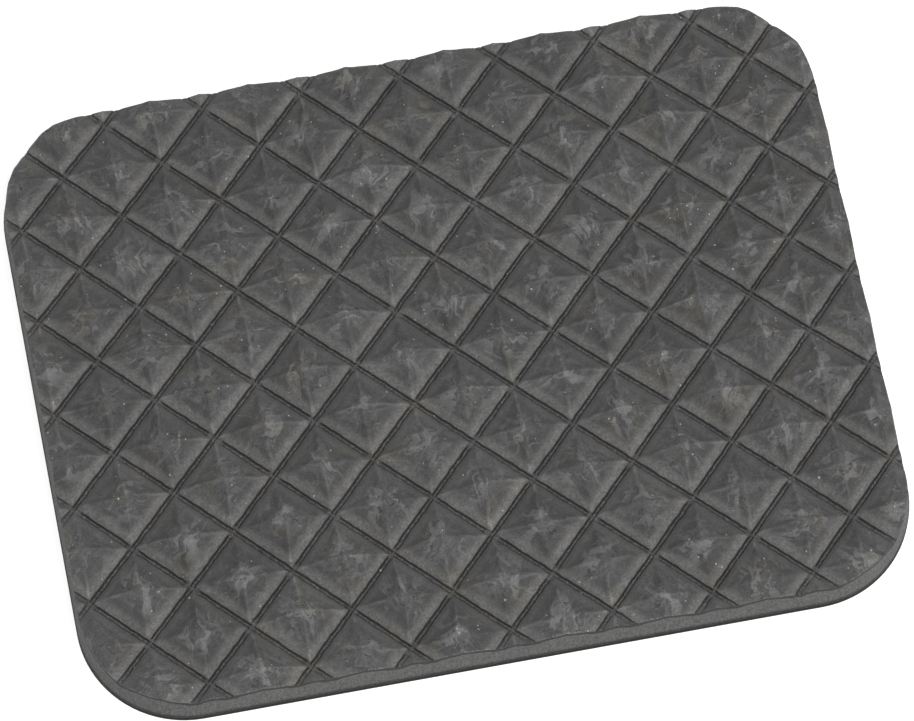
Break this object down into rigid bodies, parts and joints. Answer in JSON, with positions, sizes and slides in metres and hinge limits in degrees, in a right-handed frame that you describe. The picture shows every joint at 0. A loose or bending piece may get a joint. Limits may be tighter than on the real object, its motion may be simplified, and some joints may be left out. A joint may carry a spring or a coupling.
{
  "type": "snowboard stomp pad",
  "caption": "Rectangular peel-and-stick foam grip pad with round corners, a moulded pyramid tread, double-coated foam tape and a split release liner.",
  "frame": {"origin": "middle of the release liner's underside, which is the face that the pad lies on", "axes": "+X along the pad's long side, +Y along its short side, +Z out of the tread"},
  "size_m": [0.1322, 0.1018, 0.0092],
  "materials": {
    "foam": "matte",
    "adhesive": "satin",
    "carrier": "matte",
    "liner": "satin"
  },
  "bodies": {
    "pad": {"tread_pad": "foam", "foam_side_adhesive": "adhesive", "tape_carrier": "carrier", "board_side_adhesive": "adhesive"},
    "liner_left": {"release_liner_left": "liner"},
    "liner_right": {"release_liner_right": "liner"}
  },
  "joints": [
    {"name": "liner_left_peel", "type": "hinge", "parent": "pad", "child": "liner_left", "pos_m": [-0.0661, 0, 0.00015], "axis": [0, 1, 0], "range_deg": [0, 180]},
    {"name": "liner_right_peel", "type": "hinge", "parent": "pad", "child": "liner_right", "pos_m": [0.0661, 0, 0.00015], "axis": [0, -1, 0], "range_deg": [0, 180]}
  ]
}
